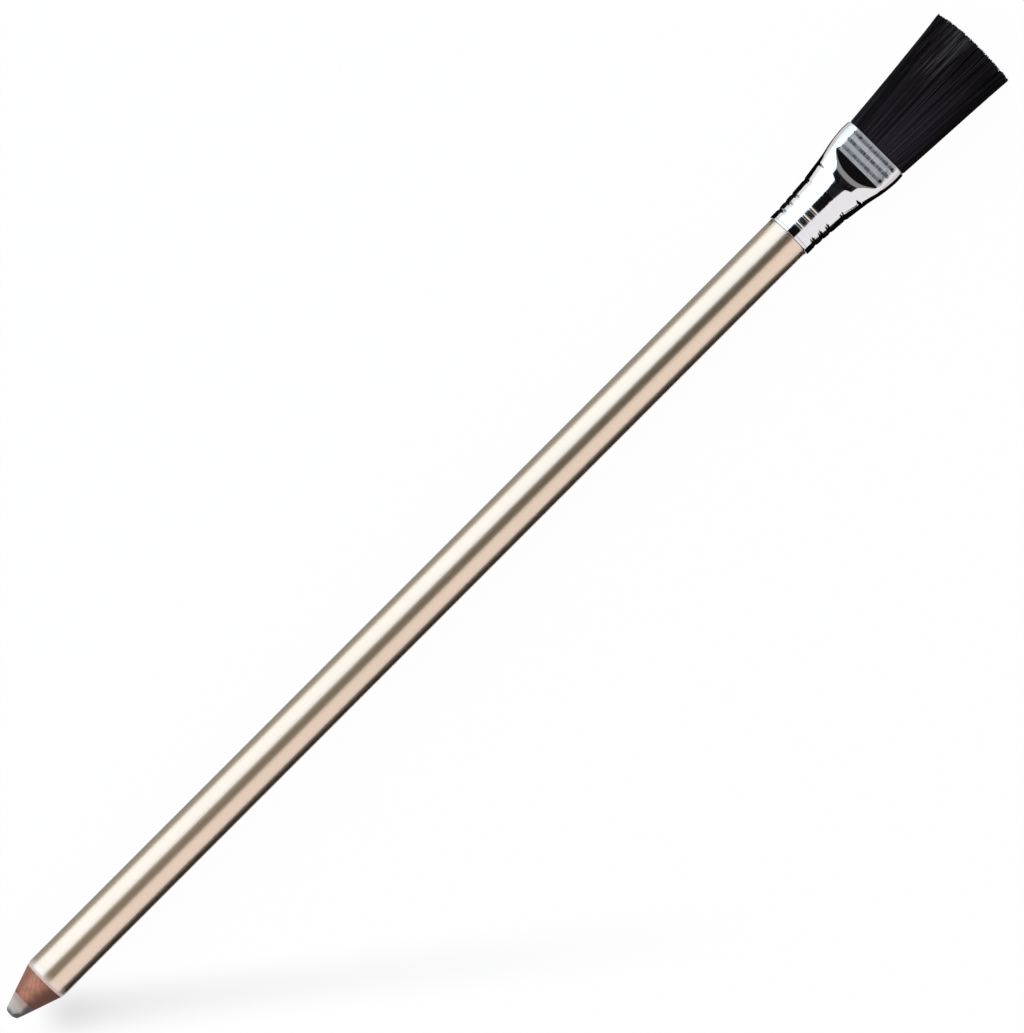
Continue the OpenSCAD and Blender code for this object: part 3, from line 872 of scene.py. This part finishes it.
class PENCIL_OT_brush(bpy.types.Operator):
    """Set the hair of the flat brush in its root slice"""

    bl_idname = "eraser_pencil.brush"
    bl_label = "Brush"

    # Places along a hair, from root to tip, and the share of it that stands straight at the root
    STOPS = (0, 0.035, 0.25, 0.5, 0.76, 1)
    STRAIGHT = 0.03
    SEED = 11

    def execute(self, context):
        brush = context.scene.eraser_brush
        form = FerruleForm(context.scene.eraser_ferrule)
        hair = hair_finish(brush)
        self.root_slice(brush, form, hair)
        data = bpy.data.curves.new("brush_hair", "CURVE")
        data.dimensions = "3D"
        data.bevel_depth = brush.hair_r * MM
        data.bevel_resolution = 0
        data.use_fill_caps = True
        shades = []
        for places, shade in self.hairs(brush, form):
            spline = data.splines.new("POLY")
            spline.points.add(len(self.STOPS) - 1)
            for point, t, (x, y, z) in zip(spline.points, self.STOPS, places):
                point.co = ((TIP_X + x) * MM, y * MM, (AXIS_Z + z) * MM, 1)
                point.radius = 1.05 - 0.35 * t
            shades.append(shade)
        curve = in_scene("hair_curve", data)
        mesh = bpy.data.meshes.new_from_object(curve.evaluated_get(context.evaluated_depsgraph_get()))
        bpy.data.objects.remove(curve)
        bpy.data.curves.remove(data)
        each = len(mesh.vertices) // len(shades)
        root_at = LIP_AT - brush.root_depth
        hair_len = BRUSH_END - root_at
        strand = mesh.attributes.new("strand", "FLOAT", "POINT")
        from_root = mesh.attributes.new("from_root", "FLOAT", "POINT")
        strand.data.foreach_set("value", [shades[i // each] for i in range(len(mesh.vertices))])
        along = [v.co.x / MM - TIP_X - root_at for v in mesh.vertices]
        from_root.data.foreach_set("value", [place / hair_len for place in along])
        place_piece(mesh, "brush_hair", hair, ["bristle_tuft"])
        return {"FINISHED"}

    def hairs(self, brush, form):
        """Each hair's places along its length, and its shade."""
        chance = random.Random(self.SEED)
        root_at = LIP_AT - brush.root_depth
        inset = form.f.wall + ROOT_GAP
        root_w = form.f.lip_w / 2 - inset - brush.hair_r
        root_oval = form.band_h - inset
        root_t = form.f.mouth_t / 2 - inset - brush.hair_r
        tip_w = TUFT_W / 2 - brush.hair_r - 0.02
        tip_t = brush.tuft_t / 2
        locks = [[chance.uniform(-1, 1) for _ in range(3)] for _ in range(brush.clumps)]
        columns = round(math.sqrt(brush.strands * root_w / root_t))
        rows = brush.strands // columns
        for index in range(columns * rows):
            # u runs from -1 to 1 across the brush and v through its thickness
            u = 2 * (index % columns + chance.uniform(0.15, 0.85)) / columns - 1
            v = 2 * (index // columns + chance.uniform(0.15, 0.85)) / rows - 1
            lock_u, lock_v, lock_drop = min(locks, key=lambda k: (k[0] - u) ** 2 * 9 + (k[1] - v) ** 2)
            pull = brush.gather * (1 - abs(u) ** 6)
            tip_u = u + (lock_u - u) * pull + chance.gauss(0, 0.012)
            tip_v = v + (lock_v - v) * pull + chance.gauss(0, 0.05)
            stray = chance.random() < 0.012
            drop = (brush.corner_drop if u > 0 else brush.other_drop) * u * u + abs(lock_drop) * 0.08
            end = BRUSH_END - drop - min(0.5, abs(chance.gauss(0, 0.08)))
            root_y = root_w * math.sqrt(max(0, 1 - (root_t * v / root_oval) ** 2)) * u
            root_z = root_t * v
            tip_y = tip_w * max(-1, min(1, tip_u))
            tip_z = tip_t * max(-1, min(1, tip_v)) * (1.25 if stray else 1)
            wave = chance.uniform(0.02, 0.07)
            phase = chance.uniform(0, math.tau)
            places = []
            for t in self.STOPS:
                spread = t + brush.bulge * (1 - t) ** 2 * min(1, t / self.STRAIGHT)
                sway = wave * math.sin(phase + 4 * t) * t
                y = root_y + (tip_y - root_y) * spread + brush.lean * t**1.4 + sway
                z = root_z + (tip_z - root_z) * spread + sway * math.cos(phase)
                places.append((root_at + (end - root_at) * t, y, z))
            # The outermost hairs are darker
            yield places, chance.random() * (1 - 0.85 * soft_step(abs(u), 0.72, 0.95))

    def root_slice(self, brush, form, hair):
        """The slice of set roots that closes the mouth."""
        bm = bmesh.new()
        ring = 4 * form.f.quarter
        circle = bmesh.ops.create_circle(bm, cap_ends=True, segments=ring, radius=1)["verts"]
        n = form.flare - brush.root_depth
        for i, vert in enumerate(circle):
            vert.co = (LIP_AT - brush.root_depth, *form.point(n, i, form.f.wall + ROOT_GAP))
        made = bmesh.ops.extrude_face_region(bm, geom=list(bm.faces))["geom"]
        back = [item for item in made if isinstance(item, bmesh.types.BMVert)]
        bmesh.ops.translate(bm, verts=back, vec=(-SLICE_T, 0, 0))
        keep_piece(bm, "root_slice", hair, ["bristle_tuft"])


def flat_card(name, xs, ys, z, material):
    """A flat, level card between two places on X and on Y, in metres."""
    bm = bmesh.new()
    bmesh.ops.create_grid(bm, x_segments=1, y_segments=1, size=0.5)
    bmesh.ops.scale(bm, verts=bm.verts, vec=(xs[1] - xs[0], ys[1] - ys[0], 1))
    bmesh.ops.translate(bm, verts=bm.verts, vec=(sum(xs) / 2, sum(ys) / 2, z))
    mesh = bpy.data.meshes.new(name)
    bm.to_mesh(mesh)
    bm.free()
    mesh.materials.append(material)
    return in_scene(name, mesh)


def facing(place, right, ahead, back):
    """A matrix that puts a lamp or the camera at a place, facing away from back."""
    return Matrix.Translation(place) @ Matrix((right, ahead, back)).transposed().to_4x4()


class PENCIL_OT_studio(bpy.types.Operator):
    """Set up the white floor, the soft panels, the cards that only reflections see, and the camera"""

    bl_idname = "eraser_pencil.studio"
    bl_label = "Studio"

    FLOOR = (-4, 4)
    CARD_Z = 0.0004
    MATT = {"Roughness": 1.0, "Specular IOR Level": 0.0}
    # Stretches of the floor along the barrel, the sleeve and the flare, in metres
    BARREL, SLEEVE, FLARE = (-0.5, 0.0638), (0.0638, 0.0765), (0.0765, 0.13)
    # What the middle of the picture shows, in metres
    TARGET = (0.0031, -0.0004)

    def execute(self, context):
        studio = context.scene.eraser_studio
        self.floor(studio)
        self.panels(studio)
        dark, grey = studio.dark_card, studio.grey_card
        self.flag("flag_barrel_bright", self.BARREL, (0.005, 0.042), grey)
        self.flag("flag_barrel_soft", self.BARREL, (-0.2, -0.0067), dark)
        self.flag("flag_sleeve_bright", self.SLEEVE, (0.0043, 0.018), dark)
        self.flag("flag_sleeve_soft", self.SLEEVE, (-0.026, -0.0043), dark)
        self.flag("flag_flare_bright", self.FLARE, (0.0045, 0.011), dark)
        self.flag("flag_flare_soft", self.FLARE, (-0.05, -0.005), dark)
        world = bpy.data.worlds.new("room")
        world.use_nodes = True
        room = world.node_tree.nodes["Background"]
        room.inputs["Color"].default_value = (1, 1, 1, 1)
        room.inputs["Strength"].default_value = studio.fill
        context.scene.world = world
        self.camera(context, studio)
        context.scene.view_settings.view_transform = "Standard"
        return {"FINISHED"}

    def floor(self, studio):
        """White floor that keeps the pencil's shadow, with a faint painted shadow that runs off from the tip.
        """
        finish = Finish("white_floor", {"Base Color": (0.95, 0.95, 0.95, 1), **self.MATT})
        # Where the painted shadow starts, in millimetres, and the way it runs
        start_x, start_y, run, fall = 7.6, -7.1, 0.787, 0.617
        onward = (finish.along - start_x) * run - (finish.across - start_y) * fall
        aside = (finish.along - start_x) * fall + (finish.across - start_y) * run
        painted_trail = finish.within(onward, -8, -1, 50, 110) * (1 - finish.step(abs(aside), 0, 5.5))
        # Painted shadow: the floor's white darkens along this path, deepest near the tip
        shade = painted_trail * studio.painted_trail / (1 + finish.math_node("MAXIMUM", onward, 0) / 14)
        rays = finish.add("ShaderNodeLightPath")
        seen = finish.math_node("MAXIMUM", rays.of("Is Camera Ray"), rays.of("Is Glossy Ray"))
        seen = finish.math_node("MAXIMUM", seen, rays.of("Is Transmission Ray"))
        white = finish.add("ShaderNodeEmission", inputs={"Color": finish.tinted((1, 1, 1), 1 - shade)})
        mixed = {0: seen * studio.clean_floor, 1: finish.shader, 2: white}
        finish.surface(finish.add("ShaderNodeMixShader", inputs=mixed))
        floor = flat_card("floor", self.FLOOR, self.FLOOR, 0, finish.material)

    def panels(self, studio):
        """The lamps: two long soft panels at the sides, two small ones past the ends, a dim one overhead."""
        along, across, white = (1, 0, 0), (0, 1, 0), (1, 1, 1)
        bright, soft = (studio.bright_side, studio.bright_tint), (studio.soft_side, studio.soft_tint)
        dim = (studio.overhead, studio.overhead_tint)
        for name, strength, tint, near, far, side, long in (
            ("bright_panel", *bright, (0, 0.26, 0.70), (0, 0.62, 0), along, 1.8),
            ("soft_panel", *soft, (0, -0.284, 0.70), (0, -0.62, 0), along, 1.8),
            ("brush_end_panel", studio.brush_end, white, (0.56, 0, 0.70), (0.95, 0, 0.46), across, 0.52),
            ("tip_end_panel", studio.tip_end, white, (-0.45, 0, 0.70), (-0.85, 0, 0.50), across, 0.5),
            ("overhead_card", *dim, (-0.9, 0, 0.72), (0, 0, 0.72), across, 0.5),
        ):
            self.panel(name, strength, tint, Vector(near), Vector(far), Vector(side), long)

    def panel(self, name, strength, tint, near, far, side, long):
        """A soft light between two parallel edges: the middles of both, the way they run and their length."""
        middle = (near + far) / 2
        data = bpy.data.lights.new(name, "AREA")
        data.shape = "RECTANGLE"
        data.size = long
        data.size_y = (far - near).length
        data.color = tint
        data.energy = strength * math.pi * data.size * data.size_y
        light = in_scene(name, data)
        out = side.cross((far - near).normalized())
        if out.dot(middle) < 0:
            out = -out
        light.matrix_world = facing(middle, side, out.cross(side), out)
        light.visible_camera = False

    def flag(self, name, xs, ys, shade):
        """A matt card on the floor that only reflections see."""
        finish = Finish(name, {"Base Color": rgba(shade), **self.MATT})
        card = flat_card(name, xs, ys, self.CARD_Z, finish.material)
        card.visible_camera = False
        card.visible_diffuse = False
        card.visible_shadow = False
        card.visible_transmission = False

    def camera(self, context, studio):
        """A long lens, nearly straight above the pencil."""
        data = bpy.data.cameras.new("camera")
        data.lens = studio.lens
        data.clip_start = 0.01
        data.clip_end = 20
        camera = in_scene("camera", data)
        turn = studio.turn
        lean = Matrix.Rotation(-studio.tilt, 3, "Y")
        right = lean @ Vector((math.cos(turn), -math.sin(turn), 0))
        ahead = lean @ Vector((math.sin(turn), math.cos(turn), 0))
        back = right.cross(ahead)
        target = Vector((*self.TARGET, AXIS_Z * MM))
        camera.matrix_world = facing(target + back * studio.distance, right, ahead, back)
        context.scene.camera = camera


class PENCIL_PT_pieces(bpy.types.Panel):
    """Lists the pencil's pieces and their settings"""

    bl_label = "Eraser Pencil"
    bl_space_type = "VIEW_3D"
    bl_region_type = "UI"
    bl_category = "Eraser Pencil"

    def draw(self, context):
        for name, (title, _, builders) in GROUPS.items():
            settings = getattr(context.scene, name)
            box = self.layout.box()
            box.label(text=title)
            for builder in builders:
                box.operator(builder.bl_idname)
            for field in type(settings).__annotations__:
                box.prop(settings, field)


GROUPS = {
    "eraser_pencil": ("Pencil", PencilSettings, (PENCIL_OT_lacquer, PENCIL_OT_casing, PENCIL_OT_eraser)),
    "eraser_ferrule": ("Ferrule", FerruleSettings, (PENCIL_OT_ferrule, PENCIL_OT_resin)),
    "eraser_brush": ("Brush", BrushSettings, (PENCIL_OT_brush,)),
    "eraser_studio": ("Studio", StudioSettings, (PENCIL_OT_studio,)),
}
BUILDERS = [builder for _, _, builders in GROUPS.values() for builder in builders]
CLASSES = [settings for _, settings, _ in GROUPS.values()] + BUILDERS + [PENCIL_PT_pieces]


def register():
    """Makes the classes and settings known to Blender."""
    for cls in CLASSES:
        bpy.utils.register_class(cls)
    for name, (_, settings, _) in GROUPS.items():
        setattr(bpy.types.Scene, name, PointerProperty(type=settings))


def unregister():
    """Takes back what register did."""
    for name in GROUPS:
        delattr(bpy.types.Scene, name)
    for cls in reversed(CLASSES):
        bpy.utils.unregister_class(cls)


def main():
    """Builds every piece and the studio."""
    register()
    for builder in BUILDERS:
        group, name = builder.bl_idname.split(".")
        getattr(getattr(bpy.ops, group), name)()
    bpy.context.view_layer.update()


if __name__ == "__main__":
    main()
